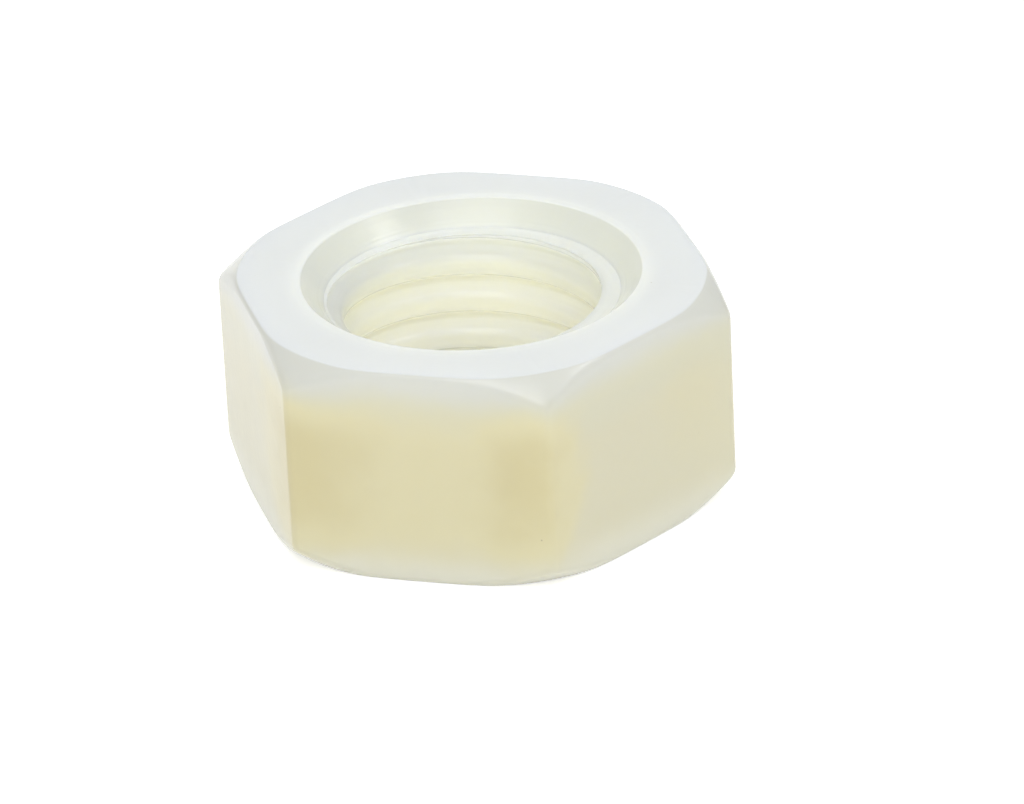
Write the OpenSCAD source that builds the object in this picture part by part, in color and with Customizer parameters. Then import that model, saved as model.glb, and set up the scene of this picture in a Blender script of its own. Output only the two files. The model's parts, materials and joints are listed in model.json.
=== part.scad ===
// Hexagon nut with a moulded metric thread, chamfered at both ends.
// The nut stands on one bearing face, centred on the thread's axis, with two
// of its six upright corners on the X axis. All sizes are in millimetres.

/* [Hexagon] */
// Distance across two opposite flats
across_flats = 22; // [20:0.5:26]
// Thickness from bearing face to bearing face
thickness = 11; // [8:0.5:14]
// Radius that softens the six upright corners
corner_radius = 0.5; // [0.2:0.1:1.5]
// Radius between each flat and the bearing faces
edge_radius = 0.3; // [0.1:0.05:0.6]

/* [Corner chamfers] */
// How far beyond the flats' distance from the axis the chamfers begin
chamfer_outset = 0.3; // [0.1:0.05:0.8]
// Slope of the chamfers, measured from the bearing face
chamfer_angle = 40; // [30:1:50]
// Radius between each bearing face and its chamfers
chamfer_edge_radius = 0.3; // [0.1:0.1:0.6]

/* [Thread] */
// Diameter at the roots of the thread
thread_major = 14; // [13.2:0.1:14.8]
// Diameter at the crests of the thread, which is the open bore
thread_minor = 12.4; // [12.2:0.1:13]
// Rise of the right-hand thread in one turn
thread_pitch = 2; // [1.5:0.25:2.5]
// Direction in which the groove opens onto the upper ledge
thread_start = 220; // [0:5:355]
// Straight steps in one turn of the groove
steps_per_turn = 48; // [24:6:60]

/* [Countersinks] */
// Depth of the countersink at each end
countersink_depth = 1.1; // [0.6:0.1:1.6]
// Angle from side to side of the countersink wall
countersink_angle = 90; // [60:5:120]
// How far the ledge under the countersink reaches past the thread roots
ledge_clearance = 0.1; // [0.05:0.05:0.4]
// Radius of the rim between a bearing face and its countersink
rim_radius = 0.15; // [0.05:0.05:0.5]

/* [Hidden] */

natural_nylon = [0.93, 0.92, 0.84];
sides = 6;
arc_steps = 4;
$fn = 96;

// Metric profile: flanks at 30 degrees to the crossing plane, and a root flat
// of an eighth of the pitch.
flank_angle = 30;
root_flat = thread_pitch / 8;
// The groove cutter starts this far inside the crests, so its cut runs clear.
cutter_margin = 0.1;

half_height = thickness / 2;
flat_radius = across_flats / 2;
corner_reach = flat_radius / cos(180 / sides);
bore_radius = thread_minor / 2;
root_radius = thread_major / 2;
ledge_radius = root_radius + ledge_clearance;
ledge_height = half_height - countersink_depth;
mouth_radius = ledge_radius + countersink_depth * tan(countersink_angle / 2);
face_radius = flat_radius + chamfer_outset;
// Cutting outlines go this far past the hexagon's corners.
clearance = 1;
turned_reach = corner_reach + clearance;
chamfer_drop = (turned_reach - face_radius) * tan(chamfer_angle);

function unit(v) = v / norm(v);

// Points of the arc that rounds a corner between its two neighbours.
function rounded(before, corner, after, radius) =
    let (
        a = unit(before - corner),
        b = unit(after - corner),
        half_angle = acos(a * b) / 2,
        centre = corner + unit(a + b) * radius / sin(half_angle),
        from = corner + a * radius / tan(half_angle) - centre,
        to = corner + b * radius / tan(half_angle) - centre
    )
    [for (i = [0:arc_steps]) centre + radius * unit(from + (to - from) * i / arc_steps)];

function hexagon_corner(i) =
    corner_reach * [cos(360 * i / sides), sin(360 * i / sides)];

module hexagonal_bar() {
    outline = [
        for (i = [0:sides - 1])
            each rounded(hexagon_corner(i - 1), hexagon_corner(i), hexagon_corner(i + 1),
                         corner_radius)
    ];
    linear_extrude(thickness) polygon(outline);
}

// Two opposite flats of the bar, with rounded edges towards the bearing faces.
module pair_of_flats() {
    section = [
        [-flat_radius, 0], [flat_radius, 0], [flat_radius, thickness], [-flat_radius, thickness]
    ];
    last = len(section) - 1;
    outline = [
        for (i = [0:last])
            each rounded(section[i == 0 ? last : i - 1], section[i],
                         section[i == last ? 0 : i + 1], edge_radius)
    ];
    rotate([90, 0, 0])
        linear_extrude(2 * turned_reach, center = true) polygon(outline);
}

// The six-sided shape that is common to all pairs of flats.
module round_edged_flats() {
    intersection_for(i = [1:2:sides - 1])
        rotate([0, 0, i * 180 / sides]) pair_of_flats();
}

// Upper half of the nut's section, from the bore outwards, about mid-height.
function upper_section() =
    let (
        ledge_inner = [bore_radius, ledge_height],
        ledge_outer = [ledge_radius, ledge_height],
        mouth = [mouth_radius, half_height],
        face_edge = [face_radius, half_height],
        chamfer_end = [turned_reach, half_height - chamfer_drop]
    )
    concat(
        [ledge_inner, ledge_outer],
        rounded(ledge_outer, mouth, face_edge, rim_radius),
        rounded(mouth, face_edge, chamfer_end, chamfer_edge_radius),
        [chamfer_end]
    );

// The lower half mirrors the upper one and runs back from the rim to the bore.
function lower_section() =
    let (upper = upper_section(), last = len(upper) - 1)
    [for (i = [last:-1:0]) [upper[i][0], -upper[i][1]]];

module turned_ring() {
    translate([0, 0, half_height])
        rotate_extrude() polygon(concat(upper_section(), lower_section()));
}

function groove_half_width(radius) =
    root_flat / 2 + (root_radius - radius) * tan(flank_angle);

// Corners of the cutter's section, as radius and height about its middle.
function groove_section() =
    let (
        inner_radius = bore_radius - cutter_margin,
        inner = groove_half_width(inner_radius),
        root = groove_half_width(root_radius)
    )
    [[inner_radius, -inner], [root_radius, -root], [root_radius, root], [inner_radius, inner]];

// The groove runs half a pitch past each ledge, out into the countersinks.
module thread_groove() {
    section = groove_section();
    corners = len(section);
    run = 2 * ledge_height + thread_pitch;
    turns = run / thread_pitch;
    steps = ceil(turns * steps_per_turn);
    first_angle = thread_start + 180 - 360 * turns;
    first_height = countersink_depth - thread_pitch / 2;
    points = [
        for (i = [0:steps], corner = section)
            let (share = i / steps, angle = first_angle + 360 * turns * share)
            [corner[0] * cos(angle), corner[0] * sin(angle),
             first_height + run * share + corner[1]]
    ];
    sides_of_groove = [
        for (i = [0:steps - 1], j = [0:corners - 1])
            let (here = corners * i + j, next = corners * i + (j + 1) % corners)
            [here, next, next + corners, here + corners]
    ];
    first_end = [for (j = [corners - 1:-1:0]) j];
    last_end = [for (j = [0:corners - 1]) corners * steps + j];
    polyhedron(points, concat([first_end], sides_of_groove, [last_end]));
}

module hex_nut() {
    color(natural_nylon)
        difference() {
            intersection() {
                hexagonal_bar();
                round_edged_flats();
                turned_ring();
            }
            thread_groove();
        }
}

hex_nut();
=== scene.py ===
"""Looks of a moulded nylon hexagon nut that stands on one bearing face.

The nut is milky, uncoloured nylon with a satin skin. Its blank is drawn out ring by ring,
with the soft edges that moulding leaves, and a right-hand thread is then cut through it with
a tap whose own edges are rounded.
"""
import json
import math

import bmesh
import bpy
from mathutils import Matrix, Vector


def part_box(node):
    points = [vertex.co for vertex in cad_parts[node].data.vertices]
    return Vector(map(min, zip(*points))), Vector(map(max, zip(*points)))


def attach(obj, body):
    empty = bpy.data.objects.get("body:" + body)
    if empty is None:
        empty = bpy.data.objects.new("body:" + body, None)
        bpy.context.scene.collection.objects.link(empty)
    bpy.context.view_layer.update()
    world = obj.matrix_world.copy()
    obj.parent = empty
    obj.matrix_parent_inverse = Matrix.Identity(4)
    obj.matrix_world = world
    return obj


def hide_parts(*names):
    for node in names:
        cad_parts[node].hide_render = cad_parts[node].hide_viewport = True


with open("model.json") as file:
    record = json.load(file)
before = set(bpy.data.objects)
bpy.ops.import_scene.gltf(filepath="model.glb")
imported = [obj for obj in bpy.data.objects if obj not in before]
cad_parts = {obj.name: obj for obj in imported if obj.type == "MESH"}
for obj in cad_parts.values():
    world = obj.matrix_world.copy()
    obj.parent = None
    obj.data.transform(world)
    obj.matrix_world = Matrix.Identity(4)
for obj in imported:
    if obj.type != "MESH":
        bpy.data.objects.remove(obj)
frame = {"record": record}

MM = 0.001

# Sizes that the frame gives.
LOWEST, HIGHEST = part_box("hex_nut")
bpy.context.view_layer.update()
THREAD = next(mount for mount in frame["record"]["mounts"] if mount["name"] == "thread")
THICKNESS = HIGHEST.z - LOWEST.z
FLAT_RADIUS = (HIGHEST.y - LOWEST.y) / 2
BORE_RADIUS = THREAD["dims"]["r_mm"] * MM
LEDGE_DEPTH = (THICKNESS - THREAD["dims"]["length_mm"] * MM) / 2

# The hexagon, whose corners are this turn about the axis from the middles of its flats.
CORNER_TO_FLAT = math.radians(30)
CORNER_REACH = FLAT_RADIUS / math.cos(CORNER_TO_FLAT)
CORNER_RADIUS = 0.5 * MM

# The chamfers, which start just outside the flats and so cut only the corners.
CHAMFER_ANGLE = math.radians(40)
CHAMFER_OUTSET = 0.3 * MM
FACE_RADIUS = FLAT_RADIUS + CHAMFER_OUTSET
FACE_EDGE_RADIUS = 0.2 * MM
FACE_EASING = 0.3 * MM
WALL_EDGE_RADIUS = 0.8 * MM
MOST_OF_THE_ROOM = 0.98

# The thread.
PITCH = 2 * MM
ROOT_RADIUS = 7 * MM
ROOT_FLAT = PITCH / 8
FLANK_ANGLE = math.radians(30)
THREAD_START = math.radians(220)
CREST_EDGE_RADIUS = 0.55 * MM
ROOT_EDGE_RADIUS = 0.2 * MM

# The countersinks, whose floors are ledges about the thread.
LEDGE_OUTSET = 0.1 * MM
LEDGE_RADIUS = ROOT_RADIUS + LEDGE_OUTSET
SINK_ANGLE = math.radians(45)
MOUTH_RADIUS = LEDGE_RADIUS + LEDGE_DEPTH / math.tan(SINK_ANGLE)
RIM_RADIUS = 0.15 * MM

# How finely the nut is cut, what is merged, and the angle past which an edge stays sharp.
FLAT_STEPS = 30
THREAD_STEPS = 180
ARC_STEPS = 6
EDGE_STEPS = 4
SAME_PLACE = 0.001 * MM
SLIVER_WIDTH = 0.002 * MM
SHARP_ANGLE = math.radians(40)


def start_afresh():
    """Leaves edit mode with nothing selected."""
    if bpy.context.object and bpy.context.object.mode != "OBJECT":
        bpy.ops.object.mode_set(mode="OBJECT")
    bpy.ops.object.select_all(action="DESELECT")


def make_active(piece):
    """Leaves just this piece selected, for the next operators."""
    start_afresh()
    piece.select_set(True)
    bpy.context.view_layer.objects.active = piece


def select_edges(piece, is_wanted):
    """In edit mode, selects just the edges that pass the test."""
    bpy.ops.mesh.select_mode(type="EDGE")
    bpy.ops.mesh.select_all(action="DESELECT")
    mesh = bmesh.from_edit_mesh(piece.data)
    for edge in mesh.edges:
        edge.select_set(is_wanted(edge))
    bmesh.update_edit_mesh(piece.data)


def rounded_hexagon():
    """Six-sided outline with rounded corners, left in edit mode."""
    bpy.ops.mesh.primitive_circle_add(vertices=6, radius=CORNER_REACH, rotation=(0, 0, CORNER_TO_FLAT))
    outline = bpy.context.object
    bpy.ops.object.transform_apply(rotation=True)
    bpy.ops.object.mode_set(mode="EDIT")
    bpy.ops.mesh.bevel(affect="VERTICES", offset_type="OFFSET", segments=ARC_STEPS, clamp_overlap=False,
                       offset=CORNER_RADIUS * math.tan(CORNER_TO_FLAT))
    select_edges(outline, lambda edge: edge.calc_length() > CORNER_RADIUS)
    bpy.ops.mesh.subdivide(number_cuts=FLAT_STEPS - 1)
    return outline


def wall_radius(turn):
    """Distance from the axis to the rounded hexagon, at that angle about the axis."""
    off_corner = abs((turn + CORNER_TO_FLAT) % (2 * CORNER_TO_FLAT) - CORNER_TO_FLAT)
    arc_centre = CORNER_REACH - CORNER_RADIUS / math.cos(CORNER_TO_FLAT)
    sideways = arc_centre * math.sin(off_corner)
    if sideways < CORNER_RADIUS:
        on_arc = arc_centre * math.cos(off_corner) + math.sqrt(CORNER_RADIUS ** 2 - sideways ** 2)
        if on_arc * math.sin(off_corner) < CORNER_RADIUS * math.sin(CORNER_TO_FLAT):
            return on_arc
    return FLAT_RADIUS / math.cos(CORNER_TO_FLAT - off_corner)


def arc_points(centre, radius, start, end):
    """Points of radius and height round a section's arc, between two leans from upright."""
    leans = [start + (end - start) * step / EDGE_STEPS for step in range(EDGE_STEPS + 1)]
    return [(centre[0] + radius * math.sin(lean), centre[1] + radius * math.cos(lean)) for lean in leans]


def eased_lesser(first, second):
    """The lesser of two radii, eased so that the face's outline has no corners."""
    return (first + second - math.hypot(first - second, FACE_EASING)) / 2


def chamfer_points(reach):
    """The chamfer's section from wall to face, with both edges rounded.

    The wall's edge has its full radius where the chamfer is wide, and what there is room for
    where it is narrow.
    """
    out, up = math.sin(CHAMFER_ANGLE), math.cos(CHAMFER_ANGLE)
    tangent_radius = FACE_RADIUS - FACE_EDGE_RADIUS * math.tan(CHAMFER_ANGLE / 2)
    face_centre = eased_lesser(reach - FACE_EDGE_RADIUS, tangent_radius)
    room = (reach - face_centre - FACE_EDGE_RADIUS * out) / (1 - out)
    wall_edge = min(WALL_EDGE_RADIUS, MOST_OF_THE_ROOM * room)
    wall_centre = reach - wall_edge
    drop = FACE_EDGE_RADIUS + ((wall_centre - face_centre) * out + wall_edge - FACE_EDGE_RADIUS) / up
    wall_arc = arc_points((wall_centre, THICKNESS - drop), wall_edge, math.radians(90), CHAMFER_ANGLE)
    face_arc = arc_points((face_centre, THICKNESS - FACE_EDGE_RADIUS), FACE_EDGE_RADIUS, CHAMFER_ANGLE, 0)
    return wall_arc + face_arc


def upper_section(reach):
    """Section of the blank's upper half where its wall is that far out, from the wall to the ledge."""
    rim_centre = (MOUTH_RADIUS + RIM_RADIUS * math.tan(SINK_ANGLE / 2), THICKNESS - RIM_RADIUS)
    rim_arc = arc_points(rim_centre, RIM_RADIUS, 0, -SINK_ANGLE)
    return chamfer_points(reach) + rim_arc + [(LEDGE_RADIUS, THICKNESS - LEDGE_DEPTH)]


def whole_section(reach):
    """Section of the whole blank there, from the lower ledge round the wall to the upper ledge."""
    upper = upper_section(reach)
    return [(radius, THICKNESS - height) for radius, height in reversed(upper)] + upper


def shape_ring(blank, number):
    """In edit mode, moves the selected ring in or out and up or down to its place in the section."""
    mesh = bmesh.from_edit_mesh(blank.data)
    for vertex in mesh.verts:
        if vertex.select:
            turn = math.atan2(vertex.co.y, vertex.co.x)
            radius, height = whole_section(wall_radius(turn))[number]
            vertex.co = (radius * math.cos(turn), radius * math.sin(turn), height)
    bmesh.update_edit_mesh(blank.data)


def moulded_blank():
    """Unthreaded nut, drawn out ring by ring from the lower ledge to the upper one."""
    blank = rounded_hexagon()
    bpy.ops.mesh.select_all(action="SELECT")
    shape_ring(blank, 0)
    for number in range(1, len(whole_section(CORNER_REACH))):
        bpy.ops.mesh.extrude_edges_move()
        shape_ring(blank, number)
    bpy.ops.mesh.edge_face_add()
    select_edges(blank, lambda edge: edge.is_boundary)
    bpy.ops.mesh.edge_face_add()
    bpy.ops.mesh.select_all(action="SELECT")
    bpy.ops.mesh.remove_doubles(threshold=SAME_PLACE)
    bpy.ops.mesh.normals_make_consistent(inside=False)
    bpy.ops.object.mode_set(mode="OBJECT")
    return blank


def select_corners(profile, radius):
    """In edit mode, selects the profile's inner corners at that radius."""
    bpy.ops.mesh.select_mode(type="VERT")
    bpy.ops.mesh.select_all(action="DESELECT")
    mesh = bmesh.from_edit_mesh(profile.data)
    for vertex in mesh.verts:
        vertex.select_set(abs(vertex.co.x - radius) < SAME_PLACE and len(vertex.link_edges) == 2)
    bmesh.update_edit_mesh(profile.data)


def thread_profile():
    """One pitch of the thread as a line of edges, from the middle of one crest to the next."""
    flank_rise = (ROOT_RADIUS - BORE_RADIUS) * math.tan(FLANK_ANGLE)
    crest = PITCH - ROOT_FLAT - 2 * flank_rise
    steps = [(0, crest / 2), (ROOT_RADIUS - BORE_RADIUS, flank_rise), (0, ROOT_FLAT),
             (BORE_RADIUS - ROOT_RADIUS, flank_rise), (0, crest / 2)]
    bpy.ops.mesh.primitive_plane_add(size=MM)
    profile = bpy.context.object
    bpy.ops.object.mode_set(mode="EDIT")
    bpy.ops.mesh.select_mode(type="VERT")
    bpy.ops.mesh.merge(type="CENTER")
    bpy.ops.transform.translate(value=(BORE_RADIUS, 0, 0))
    for outwards, up in steps:
        bpy.ops.mesh.extrude_vertices_move(TRANSFORM_OT_translate={"value": (outwards, 0, up)})
    for corner_radius, edge_radius in ((BORE_RADIUS, CREST_EDGE_RADIUS), (ROOT_RADIUS, ROOT_EDGE_RADIUS)):
        select_corners(profile, corner_radius)
        bpy.ops.mesh.bevel(affect="VERTICES", offset_type="OFFSET", segments=ARC_STEPS, clamp_overlap=False,
                           offset=edge_radius * math.tan((math.pi / 2 - FLANK_ANGLE) / 2))
    bpy.ops.object.mode_set(mode="OBJECT")
    return profile


def close_ends(tap):
    """In edit mode, closes the tap's two open ends, below and above the nut."""
    for is_end in (lambda height: height < 0, lambda height: height > THICKNESS):
        select_edges(tap, lambda edge: edge.is_boundary and is_end(edge.verts[0].co.z))
        bpy.ops.mesh.extrude_edges_move()
        bpy.ops.mesh.merge(type="CENTER")


def thread_tap():
    """Threaded rod that cuts the thread, more than a turn longer than the nut at both ends."""
    groove_turns = (THICKNESS - 2 * LEDGE_DEPTH) / PITCH + 1
    groove_start = THREAD_START + math.pi - math.tau * groove_turns
    tap = thread_profile()
    tap.rotation_euler.z = groove_start
    tap.location.z = LEDGE_DEPTH - 2 * PITCH
    bpy.ops.object.transform_apply(location=True, rotation=True)
    screw = tap.modifiers.new("helix", "SCREW")
    screw.screw_offset = PITCH
    screw.iterations = math.ceil(groove_turns) + 1
    screw.steps = screw.render_steps = THREAD_STEPS
    bpy.ops.object.modifier_apply(modifier=screw.name)
    bpy.ops.object.mode_set(mode="EDIT")
    bpy.ops.mesh.select_all(action="SELECT")
    bpy.ops.mesh.remove_doubles(threshold=SAME_PLACE)
    close_ends(tap)
    bpy.ops.mesh.select_all(action="SELECT")
    bpy.ops.mesh.normals_make_consistent(inside=False)
    bpy.ops.object.mode_set(mode="OBJECT")
    return tap


def cut(blank, tool):
    """Cuts the tool out of the blank, and leaves no tool behind."""
    make_active(blank)
    step = blank.modifiers.new("cut", "BOOLEAN")
    step.operation = "DIFFERENCE"
    step.solver = "EXACT"
    step.object = tool
    bpy.ops.object.modifier_apply(modifier=step.name)
    bpy.data.objects.remove(tool)


def merge_slivers():
    """Closes the slivers that the cut leaves where the thread runs out."""
    bpy.ops.object.mode_set(mode="EDIT")
    bpy.ops.mesh.select_all(action="SELECT")
    bpy.ops.mesh.remove_doubles(threshold=SLIVER_WIDTH)
    bpy.ops.object.mode_set(mode="OBJECT")


def moulded_nut():
    """The whole nut: the threaded blank, smooth but for its sharp edges."""
    start_afresh()
    nut = moulded_blank()
    start_afresh()
    cut(nut, thread_tap())
    merge_slivers()
    bpy.ops.object.shade_smooth_by_angle(angle=SHARP_ANGLE)
    even = nut.modifiers.new("even flats", "WEIGHTED_NORMAL")
    even.keep_sharp = True
    bpy.ops.object.modifier_apply(modifier=even.name)
    nut.name = nut.data.name = "moulded_nut"
    return nut


class Nodes:
    """Adds shader nodes to one tree and links them."""

    def __init__(self, tree):
        self.tree = tree
        self.tree.nodes.clear()

    def add(self, kind, **settings):
        node = self.tree.nodes.new(kind)
        for name, value in settings.items():
            setattr(node, name, value)
        return node

    def link(self, source, target):
        self.tree.links.new(source, target)

    def feed(self, target, value):
        """Links a socket to the target, or sets a plain value on it."""
        if isinstance(value, bpy.types.NodeSocket):
            self.link(value, target)
        else:
            target.default_value = value

    def math(self, operation, *values):
        node = self.add("ShaderNodeMath", operation=operation)
        for target, value in zip(node.inputs, values):
            self.feed(target, value)
        return node.outputs["Value"]

    def rise(self, value, start, end):
        """Smooth step from 0, where the value is at the start, to 1, where it is at the end."""
        node = self.add("ShaderNodeMapRange", interpolation_type="SMOOTHSTEP")
        self.feed(node.inputs["Value"], value)
        node.inputs["From Min"].default_value = start
        node.inputs["From Max"].default_value = end
        return node.outputs["Result"]

    def span(self, value, low, high):
        """Carries a value from 0 to 1 onto the span from low to high."""
        node = self.add("ShaderNodeMapRange")
        self.feed(node.inputs["Value"], value)
        node.inputs["To Min"].default_value = low
        node.inputs["To Max"].default_value = high
        return node.outputs["Result"]

    def ramp(self, value, stops):
        """Colours along a value, from stops of place and colour."""
        node = self.add("ShaderNodeValToRGB")
        node.color_ramp.interpolation = "EASE"
        elements = node.color_ramp.elements
        while len(elements) < len(stops):
            elements.new(1)
        for element, (place, colour) in zip(elements, stops):
            element.position = place
            element.color = (*colour, 1)
        self.feed(node.inputs["Fac"], value)
        return node.outputs["Color"]

    def blend(self, share, first, second):
        """Mixes two colours: the first where the share is 0, and the second where it is 1."""
        node = self.add("ShaderNodeMix", data_type="RGBA")
        self.feed(node.inputs["Factor"], share)
        for target, colour in ((node.inputs["A"], first), (node.inputs["B"], second)):
            self.feed(target, (*colour, 1) if isinstance(colour, tuple) else colour)
        return node.outputs["Result"]

    def noise(self, place, size, detail=2.0):
        """Cloudy value about 0.5, whose clouds are about this size."""
        node = self.add("ShaderNodeTexNoise")
        self.link(place, node.inputs["Vector"])
        node.inputs["Scale"].default_value = 1 / size
        node.inputs["Detail"].default_value = detail
        return node.outputs["Fac"]


# Nylon colours outside, on the bearing faces and from the foot of the sides to their top.
# They paint light and shade: a whiter sheen on the faces, light at the foot and below the top, a deeper
# cream in the middle and greyer shade on the chamfers.
FACE_SHEEN_WHITE = (0.825, 0.85, 0.84)
FOOT_LIT_CREAM = (0.88, 0.86, 0.69)
DEEP_CREAM = (0.79, 0.75, 0.54)
PALE_CREAM = (0.77, 0.75, 0.57)
CHAMFER_SHADE_WHITE = (0.75, 0.755, 0.69)
SIDE_LIGHT_STOPS = [(0.02, FOOT_LIT_CREAM), (0.25, DEEP_CREAM), (0.6, DEEP_CREAM), (0.8, PALE_CREAM),
              (0.96, CHAMFER_SHADE_WHITE)]

# Clouds shift those colours up and down, by up to about half this share of the thickness.
CLOUD_SIZE = 4 * MM
CLOUD_SHIFT = 0.12

# How near a bearing face its painted sheen ends, and half the width of the ledges' painted colour edges.
SKIN = 0.06 * MM

# Painted shade: pools where the sides are darker and yellower, with the middle and reach in mm, and the
# strength, of each such pool.
# Pools are taller than they are wide, and fade towards the top and the foot.
GOLD_SHADE_CREAM = (0.82, 0.76, 0.48)
POOL_SHADE_CREAM = (0.74, 0.66, 0.37)
SHADE_POOLS = [((-7, -11.2, 6.4), 6.5, 0.95), ((0, -11.5, 5.4), 8, 0.45), ((5.6, -11.6, 6.4), 4.6, 0.85),
         ((11.2, -2.6, 7), 4, 0.2), ((-10.6, -4, 6), 5, 0.12), ((10.5, 4, 4.5), 6.5, 0.5),
         ((-1, 11, 6), 7, 0.55), ((-9.5, 5.5, 5), 6.5, 0.45)]
POOL_SQUEEZE = (1, 1, 0.55)
POOL_DRIFT = 3 * MM
POOL_CLOUD_SIZE = 3 * MM
POOL_TOP_FADE = (0.97, 0.62)
POOL_FOOT_FADE = (-0.05, 0.3)
GOLD_RISE = (0, 0.45)
POOL_RISE = (0.3, 1)

# Nylon colours inside, from the countersinks to mid-height, which paint light and shade: darker
# countersinks, ledges and mouth, and a bore painted lighter the deeper it lies. Light under the skin warms
# them.
COUNTERSINK_SHADE_WHITE = (0.675, 0.695, 0.665)
LEDGE_SHADE_WHITE = (0.62, 0.64, 0.64)
MOUTH_SHADE_WHITE = (0.64, 0.66, 0.66)
BORE_WHITE = (0.77, 0.785, 0.765)
DEEP_BORE_LIT_WHITE = (0.86, 0.87, 0.84)
BORE_LIGHT_STOPS = [(0.24, MOUTH_SHADE_WHITE), (0.5, BORE_WHITE), (0.85, DEEP_BORE_LIT_WHITE)]

# Outside the countersinks' rims, the inner look gives way to the outer one over this width.
RIM_FADE = 1 * MM

# Fine dark specks in the moulding.
SPECK_SPACING = 2.4 * MM
SPECK_RADIUS = 0.07 * MM
SPECK_DEPTH = 0.6
SPECK_BROWN = (0.35, 0.30, 0.18)

# Satin finish: patches of roughness and a fine grain.
ROUGHNESS = (0.19, 0.26)
ROUGHNESS_PATCH = 1.5 * MM
GRAIN_SIZE = 0.35 * MM
GRAIN_DETAIL = 3.0
GRAIN_DEPTH = 0.02 * MM
GRAIN_STRENGTH = 0.25

# Fine rings that the turned core leaves inside.
RING_SPACING = 0.3 * MM
RING_DETAIL = 1.0
RING_DEPTH = 0.03 * MM
RING_STRENGTH = 0.6

# Light under the skin, which spreads further and makes up more of the look inside.
NYLON_IOR = 1.53
SPREAD_BY_COLOUR = (1.0, 0.9, 0.5)
INNER_SPREAD = 10 * MM
OUTER_SPREAD = 5 * MM
INNER_SPREAD_SHARE = 1
OUTER_SPREAD_SHARE = 0.5


def pool_place(nodes, place):
    """The place drifted by clouds, with heights squeezed so that the pools of painted shade come out tall.
    """
    clouds = nodes.add("ShaderNodeTexNoise")
    nodes.link(place, clouds.inputs["Vector"])
    clouds.inputs["Scale"].default_value = 1 / POOL_CLOUD_SIZE
    drifted = nodes.add("ShaderNodeVectorMath", operation="MULTIPLY_ADD")
    nodes.link(clouds.outputs["Color"], drifted.inputs[0])
    drifted.inputs[1].default_value = [POOL_DRIFT] * 3
    nodes.link(place, drifted.inputs[2])
    squeezed = nodes.add("ShaderNodeVectorMath", operation="MULTIPLY_ADD")
    nodes.link(drifted.outputs["Vector"], squeezed.inputs[0])
    squeezed.inputs[1].default_value = POOL_SQUEEZE
    squeezed.inputs[2].default_value = [-POOL_DRIFT / 2 * share for share in POOL_SQUEEZE]
    return squeezed.outputs["Vector"]


def pools(nodes, place):
    """How much painted shade a place has: 0 outside the pools, and about 1 in the middle of a strong one.
    """
    drifted = pool_place(nodes, place)
    total = 0
    for centre, reach, strength in SHADE_POOLS:
        away = nodes.add("ShaderNodeVectorMath", operation="DISTANCE")
        nodes.link(drifted, away.inputs[0])
        away.inputs[1].default_value = Vector(c * s for c, s in zip(centre, POOL_SQUEEZE)) * MM
        near = nodes.rise(away.outputs["Value"], reach * MM, 0)
        total = nodes.math("ADD", nodes.math("MULTIPLY", near, strength), total)
    return total


def outer_colour(nodes, place, share_up):
    """Painted light and shade: whiter towards the foot and the top, darker and yellower in the pools."""
    clouds = nodes.math("SUBTRACT", nodes.noise(place, CLOUD_SIZE), 0.5)
    height = nodes.math("ADD", share_up, nodes.math("MULTIPLY", clouds, CLOUD_SHIFT))
    # Painted light and shade up the sides, from the lit foot to the greyer chamfers.
    side = nodes.ramp(height, SIDE_LIGHT_STOPS)
    below_top = nodes.rise(height, *POOL_TOP_FADE)
    above_foot = nodes.rise(height, *POOL_FOOT_FADE)
    away_from_ends = nodes.math("MULTIPLY", below_top, above_foot)
    # Painted shade: darker, yellower pools on the sides.
    pooled_shade = nodes.math("MULTIPLY", pools(nodes, place), away_from_ends)
    golden = nodes.blend(nodes.rise(pooled_shade, *GOLD_RISE), side, GOLD_SHADE_CREAM)
    return nodes.blend(nodes.rise(pooled_shade, *POOL_RISE), golden, POOL_SHADE_CREAM)


def inner_colour(nodes, end_gap, depth):
    """Painted shade on the grey-white countersinks and ledges, and painted light in a bore that is lighter
    the deeper it lies.
    """
    # Painted light: the bore is lighter the deeper it lies. Painted shade: darker countersinks and ledges.
    bore = nodes.ramp(depth, BORE_LIGHT_STOPS)
    past_ledge = nodes.rise(end_gap, LEDGE_DEPTH, LEDGE_DEPTH + 2 * SKIN)
    below_sink = nodes.rise(end_gap, LEDGE_DEPTH - 2 * SKIN, LEDGE_DEPTH)
    mouth = nodes.blend(below_sink, COUNTERSINK_SHADE_WHITE, LEDGE_SHADE_WHITE)
    return nodes.blend(past_ledge, mouth, bore)


def speck_shade(nodes, place):
    """How dark the fine specks are, from 0 between them to the full depth."""
    cells = nodes.add("ShaderNodeTexVoronoi")
    nodes.link(place, cells.inputs["Vector"])
    cells.inputs["Scale"].default_value = 1 / SPECK_SPACING
    near = nodes.rise(cells.outputs["Distance"], SPECK_RADIUS / SPECK_SPACING, 0)
    return nodes.math("MULTIPLY", near, SPECK_DEPTH)


def axis_distance(nodes, x, y):
    """Distance of a place from the nut's axis."""
    flat_place = nodes.add("ShaderNodeCombineXYZ")
    nodes.link(x, flat_place.inputs["X"])
    nodes.link(y, flat_place.inputs["Y"])
    radius = nodes.add("ShaderNodeVectorMath", operation="LENGTH")
    nodes.link(flat_place.outputs["Vector"], radius.inputs["Vector"])
    return radius.outputs["Value"]


def core_rings(nodes, radius, z):
    """Height of the fine rings, which run all the way round the axis."""
    section_place = nodes.add("ShaderNodeCombineXYZ")
    nodes.link(radius, section_place.inputs["X"])
    nodes.link(z, section_place.inputs["Y"])
    return nodes.noise(section_place.outputs["Vector"], RING_SPACING, RING_DETAIL)


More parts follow.
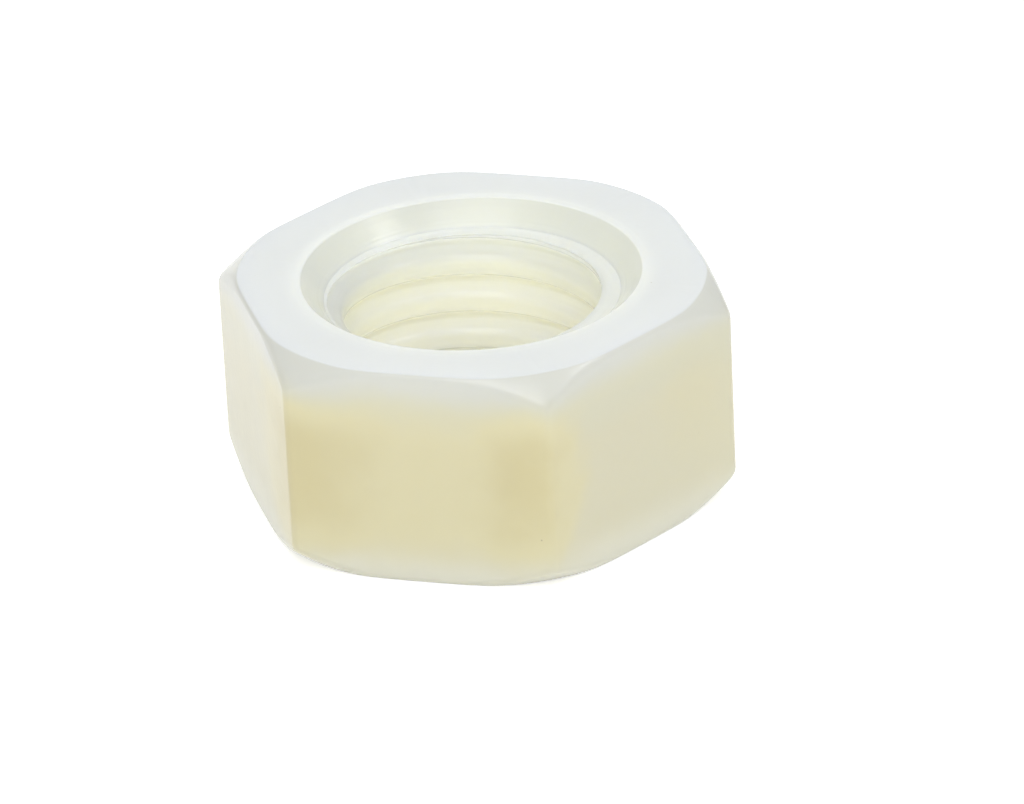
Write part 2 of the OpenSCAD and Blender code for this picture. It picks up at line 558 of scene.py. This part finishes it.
def nylon_skin(nodes, place):
    """Colour of the nylon with light and shade painted in, how far outside the thread a place lies, from 0
    to 1, and its fine rings.
    """
    axes = nodes.add("ShaderNodeSeparateXYZ")
    nodes.link(place, axes.inputs["Vector"])
    x, y, z = (axes.outputs[axis] for axis in "XYZ")
    end_gap = nodes.math("MINIMUM", z, nodes.math("SUBTRACT", THICKNESS, z))
    depth = nodes.math("DIVIDE", end_gap, THICKNESS / 2)
    share_up = nodes.math("DIVIDE", z, THICKNESS)
    radius = axis_distance(nodes, x, y)
    outside = nodes.rise(radius, MOUTH_RADIUS, MOUTH_RADIUS + RIM_FADE)
    whole = nodes.blend(outside, inner_colour(nodes, end_gap, depth), outer_colour(nodes, place, share_up))
    # Painted sheen: the bearing faces are whiter and cooler than the sides.
    faced = nodes.blend(nodes.rise(end_gap, 0, SKIN), FACE_SHEEN_WHITE, whole)
    specked = nodes.blend(speck_shade(nodes, place), faced, SPECK_BROWN)
    return specked, outside, core_rings(nodes, radius, z)


def skin_relief(nodes, place, outside, rings):
    """Normal of the fine grain all over and the rings inside."""
    grain = nodes.add("ShaderNodeBump")
    grain.inputs["Strength"].default_value = GRAIN_STRENGTH
    grain.inputs["Distance"].default_value = GRAIN_DEPTH
    nodes.link(nodes.noise(place, GRAIN_SIZE, GRAIN_DETAIL), grain.inputs["Height"])
    turned = nodes.add("ShaderNodeBump")
    nodes.link(nodes.span(outside, RING_STRENGTH, 0), turned.inputs["Strength"])
    turned.inputs["Distance"].default_value = RING_DEPTH
    nodes.link(rings, turned.inputs["Height"])
    nodes.link(grain.outputs["Normal"], turned.inputs["Normal"])
    return turned.outputs["Normal"]


def nylon():
    """Milky nylon with a satin skin, under which light spreads."""
    material = bpy.data.materials.new("natural_nylon")
    material.use_nodes = True
    nodes = Nodes(material.node_tree)
    shader = nodes.add("ShaderNodeBsdfPrincipled")
    output = nodes.add("ShaderNodeOutputMaterial")
    nodes.link(shader.outputs["BSDF"], output.inputs["Surface"])
    place = nodes.add("ShaderNodeTexCoord").outputs["Object"]
    colour, outside, rings = nylon_skin(nodes, place)
    roughness = nodes.span(nodes.noise(place, ROUGHNESS_PATCH), *ROUGHNESS)
    spread_share = nodes.span(outside, INNER_SPREAD_SHARE, OUTER_SPREAD_SHARE)
    nodes.link(colour, shader.inputs["Base Color"])
    nodes.link(roughness, shader.inputs["Roughness"])
    nodes.link(skin_relief(nodes, place, outside, rings), shader.inputs["Normal"])
    shader.inputs["IOR"].default_value = NYLON_IOR
    shader.subsurface_method = "BURLEY"
    nodes.link(spread_share, shader.inputs["Subsurface Weight"])
    nodes.link(nodes.span(outside, INNER_SPREAD, OUTER_SPREAD), shader.inputs["Subsurface Scale"])
    shader.inputs["Subsurface Radius"].default_value = SPREAD_BY_COLOUR
    return material


# The table and the room.
TABLE_WIDTH = 6
TABLE_WHITE = (0.9, 0.9, 0.9, 1)
TABLE_GLOW = 0.5
ROOM_LIGHT = (0.46, 0.47, 0.485)
ROOM_SEEN = (1, 1, 1)

# The camera, and its side of the nut.
VIEW_AZIMUTH = 15.46
VIEW_ELEVATION = 27.1
VIEW_DISTANCE = 350.6 * MM
VIEW_ROLL = 2.98
LENS = 256.4
SHIFT = (0.0348, -0.0269)
NEAREST_SEEN = 10 * MM

# Square soft lamps: the name, the turn from the camera's side, elevation, distance, width and power.
SOFTBOXES = [("backdrop", 180, 35, 0.8, 1.0, 1.7), ("key", -5, 52, 0.8, 0.6, 2.5),
             ("fill", -20, 15, 0.8, 0.6, 0.25), ("glint", 80, 48, 0.6, 0.16, 0.35)]


def floor():
    """Plain white table that still takes the nut's shadow."""
    bpy.ops.mesh.primitive_plane_add(size=TABLE_WIDTH)
    table = bpy.context.object
    table.name = "floor"
    material = bpy.data.materials.new("white_table")
    material.use_nodes = True
    nodes = Nodes(material.node_tree)
    paint = nodes.add("ShaderNodeBsdfDiffuse")
    paint.inputs["Color"].default_value = TABLE_WHITE
    path = nodes.add("ShaderNodeLightPath")
    glow = nodes.add("ShaderNodeEmission")
    seen = nodes.math("MAXIMUM", path.outputs["Is Camera Ray"], path.outputs["Is Glossy Ray"])
    nodes.link(nodes.math("MULTIPLY", seen, TABLE_GLOW), glow.inputs["Strength"])
    both = nodes.add("ShaderNodeAddShader")
    output = nodes.add("ShaderNodeOutputMaterial")
    nodes.link(paint.outputs["BSDF"], both.inputs[0])
    nodes.link(glow.outputs["Emission"], both.inputs[1])
    nodes.link(both.outputs["Shader"], output.inputs["Surface"])
    table.data.materials.append(material)


def sky():
    """Soft white room, seen as white."""
    world = bpy.data.worlds.new("room")
    bpy.context.scene.world = world
    world.use_nodes = True
    nodes = Nodes(world.node_tree)
    path = nodes.add("ShaderNodeLightPath")
    shade = nodes.blend(path.outputs["Is Camera Ray"], ROOM_LIGHT, ROOM_SEEN)
    background = nodes.add("ShaderNodeBackground")
    output = nodes.add("ShaderNodeOutputWorld")
    nodes.link(shade, background.inputs["Color"])
    nodes.link(background.outputs["Background"], output.inputs["Surface"])


def direction(azimuth, elevation):
    """Unit vector from the nut, where azimuth 0 is along -Y and 90 along +X."""
    a, e = math.radians(azimuth), math.radians(elevation)
    return Vector((math.sin(a) * math.cos(e), -math.cos(a) * math.cos(e), math.sin(e)))


def aim(thing, azimuth, elevation, distance):
    """Puts a lamp or the camera that far out from the nut, facing its middle."""
    middle = Vector((0, 0, THICKNESS / 2))
    place = middle + distance * direction(azimuth, elevation)
    facing = (middle - place).to_track_quat("-Z", "Y")
    thing.matrix_world = Matrix.Translation(place) @ facing.to_matrix().to_4x4()


def softbox(name, azimuth, elevation, distance, width, power):
    """Square soft lamp that faces the nut."""
    light = bpy.data.lights.new(name, "AREA")
    light.size = width
    light.energy = power
    lamp = bpy.data.objects.new(name, light)
    bpy.context.scene.collection.objects.link(lamp)
    aim(lamp, azimuth, elevation, distance)


def camera():
    """Long lens from above the front, rolled a little about its line of sight."""
    data = bpy.data.cameras.new("camera")
    data.lens = LENS
    data.shift_x, data.shift_y = SHIFT
    data.clip_start = NEAREST_SEEN
    eye = bpy.data.objects.new("camera", data)
    bpy.context.scene.collection.objects.link(eye)
    aim(eye, VIEW_AZIMUTH, VIEW_ELEVATION, VIEW_DISTANCE)
    eye.matrix_world = eye.matrix_world @ Matrix.Rotation(math.radians(-VIEW_ROLL), 4, "Z")
    bpy.context.scene.camera = eye


nut = moulded_nut()
nut.data.materials.append(nylon())
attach(nut, "root")
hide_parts("hex_nut")

floor()
sky()
for name, turn, elevation, distance, width, power in SOFTBOXES:
    softbox(name, VIEW_AZIMUTH + turn, elevation, distance, width, power)
camera()
bpy.context.scene.view_settings.view_transform = "Standard"
